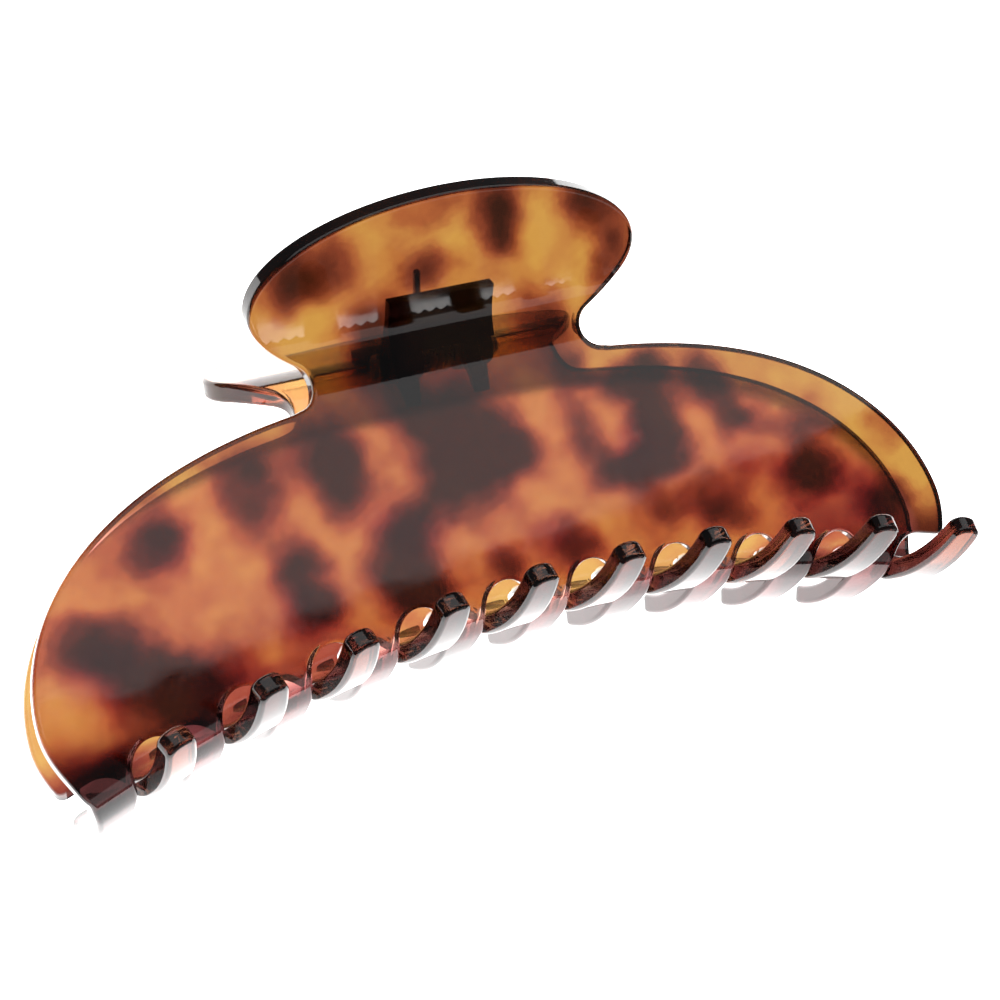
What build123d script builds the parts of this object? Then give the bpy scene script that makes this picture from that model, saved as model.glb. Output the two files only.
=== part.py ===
from build123d import *
import os
from copy import copy
from math import asin, atan2, cos, degrees, hypot, pi, radians, sin, sqrt

# A large claw clip: two equal jaws cut from one thickness of acetate sheet and bent hot,
# hinged on a steel pin between their thumb tabs and held shut by a torsion spring.
#
# The clip is drawn standing: X runs along the clip, Y from the front jaw to the back jaw and
# Z from the teeth up to the tabs, with Z = 0 where the tab starts to bend out of the plate.
# The last step lays the whole clip down on its back, as it rests on a table.
#
# Distances along the sheet are measured on its outer face from Z = 0: "up" towards the
# tab's rim and "down" towards the tooth tips.

# Sheet
SHEET = 2.4                   # thickness of the acetate
FACE = 5.2                    # outer face of a closed jaw's flat plate, from the mid-plane

# Plate outline, seen from the front
HALF_LENGTH = 55.4            # widest point of the half-moon
WIDEST_DOWN = 27.3            # how far below the neck the widest point lies
SHOULDER_POWER = 2.73         # how square the half-moon's shoulder is along X
CROWN_POWER = 1.97            # how square it is along Z
END_INSET = 3.3               # how far an end has come in again at the foot of the plate
END_DROP = 9.0                # height over which it does so

# Thumb tab
TAB_HALF_WIDTH = 23.7
TAB_LENGTH = 22.4             # along the sheet, from the neck to the rim
TAB_LEAN = 57.0               # degrees out of the plate's plane
TAB_BEND_RADIUS = 7.5         # on the outer, hollow side of the bend
NECK_HANDOVER = 40.0          # degrees round the tab's ellipse where the neck notch takes over

# Teeth
TEETH = 10
PITCH = 10.8
PHASE = 0.25                  # teeth sit this part of a pitch to the left of centre
ARCH_RADIUS = 169.0           # the gullets' tops lie on this arc, lower at the ends
GULLET_DOWN = 24.6            # top of the middle gullet
ROOT_HALF_WIDTH = 2.7
TIP_HALF_WIDTH = 1.65
TIP_ROUND = 1.45
GULLET_HALF_WIDTH = PITCH / 2 - ROOT_HALF_WIDTH
BEHIND_PLATE = 1.0            # the gullets' sides are square from this far in front of the mid-plane
BEND_DOWN = 22.8              # where the plate starts to bend under
BEND_RADIUS = 6.35            # outer radius of that bend
BEND_ANGLE = 76.4
TOOTH_RADIUS = 25.6           # outer radius along a tooth
TOOTH_ANGLE = 36.5

# Hinge
PIN_UP = 4.0                  # height of the pin's axis
PIN_RADIUS = 1.0
RUNNING_FIT = 0.05            # radial clearance of the knuckles on the pin
KNUCKLE_RADIUS = 2.5
KNUCKLES = ((-6.5, -4.45), (2.3, 4.25))   # one bracket's knuckles along X; its twin is turned round
HINGE_HALF_WIDTH = 6.5
LEAF = 1.2                    # thickness of a bracket's leaf
LEAF_FOOT = 22.0              # degrees round the tab bend where the leaf starts
LEAF_RUN = 1.0                # how far the leaf goes on along the flat tab
ARM_DOWN = 1.0                # how far the knuckle arms reach below Z = 0
ARM_TOP = 50.0                # degrees round the tab bend where the arms end
ARM_START = 0.6               # where an arm leaves its knuckle, from the mid-plane
ARM_HALF_HEIGHT = 1.6
SWING_CLEARANCE = 0.3         # round the knuckles of the other bracket
GLUE = 0.05                   # glue line between a bracket and its jaw
HEAD_RADIUS = 1.7
HEAD_LENGTH = 0.8
HEAD_ROUND = 0.3
END_PLAY = 0.2

# Torsion spring
WIRE_RADIUS = 0.45
COIL_RADIUS = 1.85            # to the middle of the wire
COIL_TURNS = 3                # whole turns, less the part turn between the two legs
COIL_PITCH = 1.0
LEG_LENGTH = 11.5

BIG = 200.0
ARCH_AXIS = Axis((0, 0, -GULLET_DOWN - ARCH_RADIUS), (0, 1, 0))


def side_point(distance, height):
    """A point in the front jaw's cross-section, by its distance from the mid-plane."""
    return Vector(0, -distance, height)


def arc_points(centre, radius, start, end):
    """Start, middle and end of a cross-section arc; angles in degrees from outwards to up."""
    angles = (radians(start), radians((start + end) / 2), radians(end))
    return [side_point(centre[0] + radius * cos(a), centre[1] + radius * sin(a)) for a in angles]


def lower_section():
    """Cross-section of the sheet from the foot of the flat plate to the tooth tips."""
    inner = FACE - SHEET
    bend = (FACE - BEND_RADIUS, -BEND_DOWN)
    turn = radians(BEND_ANGLE)
    shift = TOOTH_RADIUS - BEND_RADIUS
    tooth = (bend[0] - shift * cos(turn), bend[1] + shift * sin(turn))
    tip_angle = BEND_ANGLE + TOOTH_ANGLE
    top = -BEND_DOWN + 3
    bend_out = arc_points(bend, BEND_RADIUS, 0, -BEND_ANGLE)
    bend_in = arc_points(bend, BEND_RADIUS - SHEET, 0, -BEND_ANGLE)
    tooth_out = arc_points(tooth, TOOTH_RADIUS, -BEND_ANGLE, -tip_angle)
    tooth_in = arc_points(tooth, TOOTH_RADIUS - SHEET, -BEND_ANGLE, -tip_angle)
    edges = [
        Line(side_point(FACE, top), bend_out[0]),
        ThreePointArc(*bend_out),
        ThreePointArc(*tooth_out),
        Line(tooth_out[2], tooth_in[2]),
        ThreePointArc(*tooth_in),
        ThreePointArc(*bend_in),
        Line(bend_in[0], side_point(inner, top)),
        Line(side_point(inner, top), side_point(FACE, top)),
    ]
    return make_face(Curve() + edges)


def about_arch(shape, along):
    """Turn a shape from the middle of the clip to a distance along the arch."""
    return shape.rotate(ARCH_AXIS, degrees(along / ARCH_RADIUS))


def crown(x):
    """Height of the half-moon's upper edge."""
    reach = min(abs(x) / HALF_LENGTH, 1.0)
    return -WIDEST_DOWN * (1 - (1 - reach ** SHOULDER_POWER) ** (1 / CROWN_POWER))


def neck_notch():
    """Centre and radius of the notch between tab and shoulder, on the unrolled sheet."""
    turn = radians(NECK_HANDOVER)
    half = TAB_LENGTH / 2
    x = TAB_HALF_WIDTH * cos(turn)
    up = half - half * sin(turn)
    across = cos(turn) / TAB_HALF_WIDTH
    down = sin(turn) / half
    size = hypot(across, down)
    shoulder = crown(x)
    radius = (up - shoulder) / (1 + down / size)
    return x + radius * across / size, up - radius * down / size, radius


NOTCH_X, NOTCH_UP, NOTCH_RADIUS = neck_notch()
HANDOVER_UP = TAB_LENGTH / 2 * (1 - sin(radians(NECK_HANDOVER)))


def tab_half_width(up):
    """Half width of the unrolled tab and neck at a distance up the sheet."""
    if up < HANDOVER_UP:
        return NOTCH_X - sqrt(NOTCH_RADIUS ** 2 - (up - NOTCH_UP) ** 2)
    rise = 2 * up / TAB_LENGTH - 1
    return TAB_HALF_WIDTH * sqrt(max(0.0, 1 - rise * rise))


def plate_outline():
    """Half-moon, as a face in the XZ plane, running on below the bend."""
    foot = -WIDEST_DOWN - END_DROP
    neck = tab_half_width(0)
    notch_middle = radians(degrees(atan2(-NOTCH_UP, neck - NOTCH_X)) % 360 + 270) / 2
    notch = ThreePointArc(
        (neck, 0, 0),
        (NOTCH_X + NOTCH_RADIUS * cos(notch_middle), 0, NOTCH_UP + NOTCH_RADIUS * sin(notch_middle)),
        (NOTCH_X, 0, NOTCH_UP - NOTCH_RADIUS),
    )
    steps = 9
    fan = [i / steps * pi / 2 for i in range(steps + 1)]
    reach = HALF_LENGTH - NOTCH_X
    xs = [NOTCH_X + reach * sin(a) for a in fan]
    points = [(x, 0, crown(x)) for x in xs[1:]]
    shoulder = Spline(
        [notch @ 1] + [Vector(*p) for p in points],
        tangents=[(1, 0, -0.02), (0, 0, -1)],
    )
    end = Spline(
        [shoulder @ 1, Vector(HALF_LENGTH - END_INSET, 0, foot)],
        tangents=[(0, 0, -1), (-0.3, 0, -1)],
    )
    right = [notch, shoulder, end]
    left = [edge.mirror(Plane.YZ) for edge in right]
    low = foot - 20
    inset = HALF_LENGTH - END_INSET
    closing = [
        Line((-neck, 0, 0), (neck, 0, 0)),
        Line((inset, 0, foot), (inset, 0, low)),
        Line((inset, 0, low), (-inset, 0, low)),
        Line((-inset, 0, low), (-inset, 0, foot)),
    ]
    return make_face(Curve() + right + left + closing)


def gullet_cutter():
    """The middle gullet's round-topped slot through the plate."""
    top = -GULLET_DOWN
    round_top = Pos(0, top - GULLET_HALF_WIDTH) * Circle(GULLET_HALF_WIDTH)
    sides = Pos(0, top - GULLET_HALF_WIDTH - 15) * Rectangle(2 * GULLET_HALF_WIDTH, 30)
    return extrude(Plane.XZ * (round_top + sides), amount=BIG / 2, both=True)


def tooth_prism():
    """Upright prism round the middle tooth: tapered in plan, with a rounded tip."""
    root = FACE + 1
    tip = lower_section().bounding_box().max.Y
    outline = Polyline(
        (-ROOT_HALF_WIDTH, -root, 0),
        (ROOT_HALF_WIDTH, -root, 0),
        (TIP_HALF_WIDTH, tip, 0),
        (-TIP_HALF_WIDTH, tip, 0),
        close=True,
    )
    plan = make_face(outline)
    corners = plan.vertices().sort_by(Axis.Y)[-2:]
    return Pos(0, 0, -80) * extrude(fillet(corners, TIP_ROUND), amount=70)


def between_teeth():
    """What is cut away round the teeth: below the round tops, and at any height behind the plate."""
    ring = extrude(Plane.XZ * Circle(ARCH_RADIUS - GULLET_HALF_WIDTH), amount=60, both=True)
    waste = Pos(0, 0, -GULLET_DOWN - ARCH_RADIUS) * ring
    waste &= Pos(0, 0, -60) * Box(140, 120, 80)
    waste += Pos(0, 30 - BEHIND_PLATE, -40) * Box(140, 60, 40)
    for place in tooth_places():
        waste -= about_arch(tooth_prism(), place)
    return waste


def tooth_places():
    return [(i - (TEETH - 1) / 2 - PHASE) * PITCH for i in range(TEETH)]


def gullet_places():
    return [place + PITCH / 2 for place in tooth_places()]


def lower_jaw():
    """The bent foot of the plate with its teeth."""
    sweep = degrees(1.05 * HALF_LENGTH / ARCH_RADIUS)
    section = lower_section().rotate(ARCH_AXIS, -sweep)
    foot = revolve(section, ARCH_AXIS, 2 * sweep)
    cutter = gullet_cutter()
    for place in gullet_places():
        foot -= about_arch(cutter, place)
    open_end = Pos(10, 0, -GULLET_DOWN - 20) * Box(20, BIG, 40)
    foot -= about_arch(open_end, gullet_places()[-1])
    return foot - between_teeth()


def flat_plate():
    """The plate's flat part, above the bend."""
    slab = Pos(0, -FACE + SHEET / 2, -25) * Box(BIG, SHEET, 50)
    below = extrude(Plane.XZ * Circle(ARCH_RADIUS + GULLET_DOWN - BEND_DOWN + 1), amount=30, both=True)
    return slab - Pos(0, 0, -GULLET_DOWN - ARCH_RADIUS) * below


def tab_bend_section():
    """Cross-section of the bend between plate and tab."""
    centre = (FACE + TAB_BEND_RADIUS, 0)
    hollow = arc_points(centre, TAB_BEND_RADIUS, 180, 180 - TAB_LEAN)
    full = arc_points(centre, TAB_BEND_RADIUS + SHEET, 180, 180 - TAB_LEAN)
    edges = [
        ThreePointArc(*hollow),
        Line(hollow[2], full[2]),
        ThreePointArc(*full),
        Line(full[0], hollow[0]),
    ]
    return make_face(Curve() + edges)


def tab_bend():
    """The neck, trimmed square to the sheet at the middle of the bend."""
    solid = extrude(tab_bend_section(), amount=BIG / 2, both=True, dir=(1, 0, 0))
    bend_length = TAB_BEND_RADIUS * radians(TAB_LEAN)
    middle = radians(TAB_LEAN / 2)
    radius = TAB_BEND_RADIUS + SHEET / 2
    centre = side_point(FACE + TAB_BEND_RADIUS, 0)
    normal = Vector(0, cos(middle), sin(middle))
    plane = Plane(origin=centre + normal * radius, x_dir=(1, 0, 0), z_dir=normal)
    steps = 12
    rim = []
    for i in range(steps + 1):
        up = bend_length * i / steps
        along = radius * sin(up / TAB_BEND_RADIUS - middle)
        rim.append((tab_half_width(up), along))
    sign = 1 if plane.y_dir.Z > 0 else -1
    right = Spline(*[(x, sign * y) for x, y in rim])
    left = Spline(*[(-x, sign * y) for x, y in rim])
    foot = Line(left @ 0, right @ 0)
    top = Line(left @ 1, right @ 1)
    # the sheet's ends reach past the two closing lines, so the trim runs past them too
    spare = 3.0
    x_foot, y_foot = rim[0]
    x_top, y_top = rim[-1]
    below = Pos(0, sign * (y_foot - spare / 2)) * Rectangle(2 * x_foot, spare)
    above = Pos(0, sign * (y_top + spare / 2)) * Rectangle(2 * x_top, spare)
    face = make_face(Curve() + [right, left, foot, top]) + below + above
    trim = extrude(plane * face, amount=10, both=True)
    return solid & trim


def tab_plane():
    """Plane on the outer face of the flat tab: X along the clip, Y up the tab."""
    lean = radians(TAB_LEAN)
    start = side_point(FACE + TAB_BEND_RADIUS * (1 - cos(lean)), TAB_BEND_RADIUS * sin(lean))
    return Plane(origin=start, x_dir=(1, 0, 0), z_dir=(0, -cos(lean), -sin(lean)))


def flat_tab():
    """The flat part of the thumb tab."""
    plane = tab_plane()
    up_is = -1 if plane.y_dir.Z < 0 else 1
    bend_length = TAB_BEND_RADIUS * radians(TAB_LEAN)
    half = TAB_LENGTH / 2
    ellipse = Pos(0, up_is * (half - bend_length)) * Ellipse(TAB_HALF_WIDTH, half)
    keep = Pos(0, up_is * 20) * Rectangle(80, 40)
    return extrude(plane * (ellipse & keep), amount=-SHEET)


def jaw():
    """The front jaw."""
    trim = extrude(plate_outline(), amount=40, both=True, dir=(0, 1, 0))
    body = (flat_plate() + lower_jaw()) & trim
    return body + tab_bend() + flat_tab()


def bend_arc_point(distance_in, angle):
    """A cross-section point inside the tab bend, a distance in from the inner face."""
    radius = TAB_BEND_RADIUS + SHEET + distance_in
    a = radians(180 - angle)
    return (FACE + TAB_BEND_RADIUS + radius * cos(a), radius * sin(a))


def along_tab(point, distance):
    lean = radians(TAB_LEAN)
    return (point[0] + distance * sin(lean), point[1] + distance * cos(lean))


def pin_disc(radius):
    return Plane.YZ * (Pos(0, PIN_UP) * Circle(radius))


def leaf_section():
    """Cross-section of a bracket's leaf, glued along the inner face of bend and tab."""
    outer = [bend_arc_point(GLUE, a) for a in (LEAF_FOOT, (LEAF_FOOT + TAB_LEAN) / 2, TAB_LEAN)]
    inner = [bend_arc_point(LEAF, a) for a in (LEAF_FOOT, (LEAF_FOOT + TAB_LEAN) / 2, TAB_LEAN)]
    outer_end = along_tab(outer[2], LEAF_RUN)
    inner_end = along_tab(inner[2], LEAF_RUN)
    edges = [
        ThreePointArc(*[side_point(*p) for p in outer]),
        Line(side_point(*outer[2]), side_point(*outer_end)),
        Line(side_point(*outer_end), side_point(*inner_end)),
        Line(side_point(*inner_end), side_point(*inner[2])),
        ThreePointArc(*[side_point(*p) for p in inner]),
        Line(side_point(*inner[0]), side_point(*outer[0])),
    ]
    return make_face(Curve() + edges)


def arm_section():
    """Cross-section of a knuckle's arm, from the pin out to the jaw."""
    foot = (FACE - SHEET - GLUE, -ARM_DOWN)
    start = (FACE - SHEET - GLUE, 0)
    middle = bend_arc_point(GLUE, ARM_TOP / 2)
    high = bend_arc_point(GLUE, ARM_TOP)
    inner_high = bend_arc_point(LEAF, ARM_TOP)
    upper = (ARM_START, PIN_UP + ARM_HALF_HEIGHT)
    lower = (ARM_START, PIN_UP - ARM_HALF_HEIGHT)
    edges = [
        Line(side_point(*foot), side_point(*start)),
        ThreePointArc(side_point(*start), side_point(*middle), side_point(*high)),
        Line(side_point(*high), side_point(*inner_high)),
        Line(side_point(*inner_high), side_point(*upper)),
        Line(side_point(*upper), side_point(*lower)),
        Line(side_point(*lower), side_point(*foot)),
    ]
    return make_face(Curve() + edges) + pin_disc(KNUCKLE_RADIUS)


def span(face, low, high):
    """A cross-section made solid between two places along X."""
    return Pos(low, 0, 0) * extrude(face, amount=high - low, dir=(1, 0, 0))


def bracket():
    """The front jaw's hinge bracket."""
    body = span(leaf_section(), -HINGE_HALF_WIDTH, HINGE_HALF_WIDTH)
    body -= span(pin_disc(KNUCKLE_RADIUS + SWING_CLEARANCE), -HINGE_HALF_WIDTH, HINGE_HALF_WIDTH)
    for low, high in KNUCKLES:
        body += span(arm_section(), low, high)
    bore = span(pin_disc(PIN_RADIUS + RUNNING_FIT), -HINGE_HALF_WIDTH - 1, HINGE_HALF_WIDTH + 1)
    return body - bore


def hinge_pin():
    """Pin with a formed head at its left end."""
    reach = HINGE_HALF_WIDTH + END_PLAY
    shank = span(pin_disc(PIN_RADIUS), -reach, reach + HEAD_LENGTH)
    head = span(pin_disc(HEAD_RADIUS), -reach - HEAD_LENGTH, -reach)
    return shank + fillet(head.edges().sort_by(Axis.X)[0], HEAD_ROUND)


def pin_retainer():
    """Push-on ring that keeps the pin in."""
    reach = HINGE_HALF_WIDTH + END_PLAY
    return span(pin_disc(HEAD_RADIUS) - pin_disc(PIN_RADIUS), reach, reach + HEAD_LENGTH)


def spring_leg_line():
    """Start and direction of the front leg, which touches both the coil and the leaf."""
    big_centre = (FACE + TAB_BEND_RADIUS, 0.0)
    big_radius = TAB_BEND_RADIUS + SHEET + LEAF + WIRE_RADIUS + 0.05
    across = big_centre[0]
    up = big_centre[1] - PIN_UP
    apart = hypot(across, up)
    heading = atan2(up, across) + asin((big_radius - COIL_RADIUS) / apart)
    start = (-COIL_RADIUS * sin(heading), PIN_UP + COIL_RADIUS * cos(heading))
    return start, heading


def torsion_spring():
    """Close-wound coil round the pin, with a straight leg on each bracket's leaf."""
    start, heading = spring_leg_line()
    leave = side_point(*start) - Vector(0, 0, PIN_UP)
    # the coil stops short of whole turns by the angle between its two legs' places
    turn = COIL_TURNS * 2 * pi - 2 * atan2(leave.Y, leave.Z)
    length = COIL_PITCH * turn / (2 * pi)
    coil = Helix(
        COIL_PITCH, length, COIL_RADIUS, center=(-length / 2, 0, 0), direction=(1, 0, 0), lefthand=True
    )
    begin = coil @ 0
    spin = atan2(leave.Z, leave.Y) - atan2(begin.Z, begin.Y)
    coil = Pos(0, 0, PIN_UP) * coil.rotate(Axis.X, degrees(spin))
    legs = (
        Line((coil @ 0) - (coil % 0) * LEG_LENGTH, coil @ 0),
        Line(coil @ 1, (coil @ 1) + (coil % 1) * LEG_LENGTH),
    )
    path = Wire([legs[0], coil, legs[1]])
    profile = Plane(origin=path @ 0, z_dir=path % 0) * Circle(WIRE_RADIUS)
    return sweep(profile, path=path)


def turned_round(shape):
    """The same piece on the other side of the hinge."""
    return shape.rotate(Axis.Z, 180)


def rest_tilt(front_jaw):
    """Degrees from the plates to the table that the lying clip rests on.

    The table touches the back tab's rim and the tips of the front jaw's teeth that come out
    behind the clip.
    """
    lean = radians(TAB_LEAN)
    flat = TAB_LENGTH - TAB_BEND_RADIUS * lean
    rim_back = FACE + TAB_BEND_RADIUS * (1 - cos(lean)) + flat * sin(lean)
    rim_up = TAB_BEND_RADIUS * sin(lean) + flat * cos(lean)
    tips = [vertex for vertex in front_jaw.vertices() if vertex.Y > FACE + SHEET]
    return min(degrees(atan2(rim_back - tip.Y, rim_up - tip.Z)) for tip in tips)


def laid_down(shapes):
    """All pieces lying on the table, with the origin under the middle of the clip."""
    tilt = rest_tilt(shapes["front_jaw"])
    lying = {name: shape.rotate(Axis.X, tilt - 90) for name, shape in shapes.items()}
    box = Compound(children=[copy(shape) for shape in lying.values()]).bounding_box()
    middle = box.center()
    print("pin axis at", Vector(0, 0, PIN_UP).rotate(Axis.X, tilt - 90) - Vector(0, middle.Y, box.min.Z))
    print("tilt", tilt, "size", box.size)
    move = Pos(-middle.X, -middle.Y, -box.min.Z)
    return {name: move * shape for name, shape in lying.items()}


parts = {}
parts["front_jaw"] = jaw()
parts["back_jaw"] = turned_round(parts["front_jaw"])
parts["front_hinge_bracket"] = bracket()
parts["back_hinge_bracket"] = turned_round(parts["front_hinge_bracket"])
parts["hinge_pin"] = hinge_pin()
parts["pin_retainer"] = pin_retainer()
parts["torsion_spring"] = torsion_spring()

os.makedirs("parts", exist_ok=True)
for name, shape in laid_down(parts).items():
    export_step(shape, f"parts/{name}.step")
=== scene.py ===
import math

import bmesh
import bpy
import numpy as np
from mathutils import Matrix, Vector
from mathutils.geometry import delaunay_2d_cdt
from mathutils.kdtree import KDTree


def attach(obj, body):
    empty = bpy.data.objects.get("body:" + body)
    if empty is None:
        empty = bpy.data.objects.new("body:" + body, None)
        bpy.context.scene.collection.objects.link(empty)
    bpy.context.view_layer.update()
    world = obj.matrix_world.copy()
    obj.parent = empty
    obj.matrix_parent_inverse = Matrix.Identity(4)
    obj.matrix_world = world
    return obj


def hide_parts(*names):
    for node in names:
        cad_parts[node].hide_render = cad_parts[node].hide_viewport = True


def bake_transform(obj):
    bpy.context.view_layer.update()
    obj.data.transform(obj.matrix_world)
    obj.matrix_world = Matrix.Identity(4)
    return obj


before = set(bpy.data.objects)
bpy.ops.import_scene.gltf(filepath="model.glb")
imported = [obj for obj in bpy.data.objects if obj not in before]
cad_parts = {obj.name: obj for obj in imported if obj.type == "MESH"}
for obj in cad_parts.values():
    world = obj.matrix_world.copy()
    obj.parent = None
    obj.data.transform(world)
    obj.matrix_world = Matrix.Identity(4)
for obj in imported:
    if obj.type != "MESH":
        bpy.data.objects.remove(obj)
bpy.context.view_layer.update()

# Lengths are in millimetres until a mesh is made. A jaw is drawn as the flat pattern that is cut
# from the acetate sheet: x along the clip, z up the sheet from the neck. The bend() function
# then folds it, and to_row_frame() lays the clip on its back.
MM = 0.001

SHEET = 2.4
FACE = 5.2
HALF_LENGTH = 55.4
WIDEST_DOWN = 27.3
SHOULDER_POWER = 2.73
CROWN_POWER = 1.97
END_INSET = 3.3
END_DROP = 9.0
TAB_HALF_WIDTH = 23.7
TAB_LENGTH = 22.4
TAB_LEAN = math.radians(57.0)
TAB_BEND_RADIUS = 7.5
NECK_HANDOVER = math.radians(40.0)
TEETH = 10
PITCH = 10.8
PHASE = 0.25
ARCH_RADIUS = 169.0
GULLET_DOWN = 24.6
ROOT_HALF_WIDTH = 2.7
TIP_HALF_WIDTH = 1.65
TIP_ROUND = 1.45
GULLET_RADIUS = PITCH / 2 - ROOT_HALF_WIDTH
BEND_DOWN = 22.8
BEND_RADIUS = 6.35
BEND_ANGLE = math.radians(76.4)
TOOTH_RADIUS = 25.6
TOOTH_ANGLE = math.radians(36.5)
ARCH_CENTRE = -GULLET_DOWN - ARCH_RADIUS
TIP_DOWN = BEND_DOWN + BEND_RADIUS * BEND_ANGLE + TOOTH_RADIUS * TOOTH_ANGLE

# How the standing clip is laid down
TILT = math.radians(6.31335 - 90)
ROW_Y = 9.91446
ROW_Z = 19.43004

EDGE = 0.55          # radius of the polished edges
EDGE_STEPS = 4
OUTLINE_STEP = 0.42
FINE_STEP = 0.12     # outline spacing while its corners are smoothed
SMOOTHING = 8
END_TRIM = 1.2       # height above the plate's foot where the left outline starts
GULLET_BAND = 0.4
END_FILLET = 2.8

# Spacing of the mesh points inside the outline
FOLD_START = 21.6
FOLD_ROW = 0.45
FOLD_SPACING = 0.9
NECK_SPACING = 1.4
NECK_LOW = -1.0
NECK_ROWS = 30
FLAT_SPACING = 1.2
FLAT_LOW = -28.0
TAB_LOW = 12.6
TAB_ROW = 1.1
RIM_CLEARANCE = 0.3  # inner points keep this far from the outline


def section(down, depth):
    """Distance from the mid-plane and height of the sheet's lower part, before the arch."""
    turn = np.clip((down - BEND_DOWN) / BEND_RADIUS, 0, BEND_ANGLE)
    more = np.maximum(down - BEND_DOWN - BEND_RADIUS * BEND_ANGLE, 0) / TOOTH_RADIUS
    shift = TOOTH_RADIUS - BEND_RADIUS
    centre = FACE - BEND_RADIUS - shift * math.cos(BEND_ANGLE), -BEND_DOWN + shift * math.sin(BEND_ANGLE)
    on_tooth = down > BEND_DOWN + BEND_RADIUS * BEND_ANGLE
    angle = BEND_ANGLE + more
    bend_distance = FACE - BEND_RADIUS + (BEND_RADIUS - depth) * np.cos(turn)
    bend_height = -BEND_DOWN - (BEND_RADIUS - depth) * np.sin(turn)
    tooth_distance = centre[0] + (TOOTH_RADIUS - depth) * np.cos(angle)
    tooth_height = centre[1] - (TOOTH_RADIUS - depth) * np.sin(angle)
    distance = np.where(on_tooth, tooth_distance, bend_distance)
    height = np.where(on_tooth, tooth_height, bend_height)
    return distance, height


def bend(points):
    """The folded front jaw, standing: points are rows of x, z and depth below the outer face."""
    x, z, depth = np.asarray(points, float).T
    up = np.clip(z, 0, TAB_BEND_RADIUS * TAB_LEAN)
    angle = up / TAB_BEND_RADIUS
    beyond = np.maximum(z - TAB_BEND_RADIUS * TAB_LEAN, 0)
    radius = TAB_BEND_RADIUS + depth
    tab_distance = FACE + TAB_BEND_RADIUS - radius * np.cos(angle) + beyond * math.sin(TAB_LEAN)
    tab_height = radius * np.sin(angle) + beyond * math.cos(TAB_LEAN)
    down = -ARCH_CENTRE - np.hypot(x, z - ARCH_CENTRE)
    around = np.arctan2(x, z - ARCH_CENTRE)
    distance, height = section(down, depth)
    low_x = (height - ARCH_CENTRE) * np.sin(around)
    low_z = (height - ARCH_CENTRE) * np.cos(around) + ARCH_CENTRE
    flat = (z <= 0) & (down <= BEND_DOWN)
    low = (z <= 0) & (down > BEND_DOWN)
    out_x = np.where(low, low_x, x)
    out_y = -np.where(low, distance, np.where(flat, FACE - depth, tab_distance))
    out_z = np.where(low, low_z, np.where(flat, z, tab_height))
    return np.stack([out_x, out_y, out_z], 1)


def to_row_frame(points):
    """Standing clip to the row frame, still in millimetres."""
    x, y, z = points.T
    c, s = math.cos(TILT), math.sin(TILT)
    return np.stack([x, y * c - z * s + ROW_Y, y * s + z * c + ROW_Z], 1)


def turned_round(points):
    return points * np.array([-1.0, -1.0, 1.0])


def flat_point(around, down):
    """Flat-pattern point at an angle round the arch and a distance down the sheet."""
    radius = -ARCH_CENTRE - down
    return radius * math.sin(around), radius * math.cos(around) + ARCH_CENTRE


def unroll(x, z):
    """Flat-pattern point of a point of the folded outer face."""
    radius = math.hypot(x, z - ARCH_CENTRE)
    height = radius + ARCH_CENTRE
    if height > -BEND_DOWN:
        return x, z
    turn = math.asin(min(1.0, (-height - BEND_DOWN) / BEND_RADIUS))
    return flat_point(math.atan2(x, z - ARCH_CENTRE), BEND_DOWN + BEND_RADIUS * turn)


def beside(place, across, down):
    """Flat-pattern point beside a place on the arch, by its folded distance across."""
    height = float(section(np.float64(down), 0.0)[1])
    return flat_point(place / ARCH_RADIUS + math.asin(across / (height - ARCH_CENTRE)), down)


def about_arch(place, x, z):
    """Turns a folded point of the middle of the clip to a place on the arch."""
    a = place / ARCH_RADIUS
    up = z - ARCH_CENTRE
    return x * math.cos(a) + up * math.sin(a), up * math.cos(a) - x * math.sin(a) + ARCH_CENTRE


def crown(x):
    reach = min(abs(x) / HALF_LENGTH, 1.0)
    return -WIDEST_DOWN * (1 - (1 - reach ** SHOULDER_POWER) ** (1 / CROWN_POWER))


def upper_right():
    """Outline from the middle of the tab's rim down to the foot of the plate's right end."""
    half = TAB_LENGTH / 2
    points = []
    for i in range(121):
        t = math.pi / 2 - i / 120 * (math.pi / 2 + NECK_HANDOVER)
        points.append((TAB_HALF_WIDTH * math.cos(t), half + half * math.sin(t)))
    x, up = points[-1]
    across, fall = math.cos(NECK_HANDOVER) / TAB_HALF_WIDTH, math.sin(NECK_HANDOVER) / half
    size = math.hypot(across, fall)
    radius = (up - crown(x)) / (1 + fall / size)
    notch_x, notch_up = x + radius * across / size, up - radius * fall / size
    start = math.atan2(up - notch_up, x - notch_x)
    for i in range(1, 61):
        t = start + i / 60 * (1.5 * math.pi - start)
        points.append((notch_x + radius * math.cos(t), notch_up + radius * math.sin(t)))
    for i in range(1, 201):
        x = notch_x + (HALF_LENGTH - notch_x) * math.sin(i / 200 * math.pi / 2)
        points.append((x, crown(x)))
    for i in range(1, 61):
        t = i / 60
        x = HALF_LENGTH - END_INSET * t * t * (1.5 - 0.5 * t)
        points.append((x, -WIDEST_DOWN - END_DROP * t))
    return points


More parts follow.
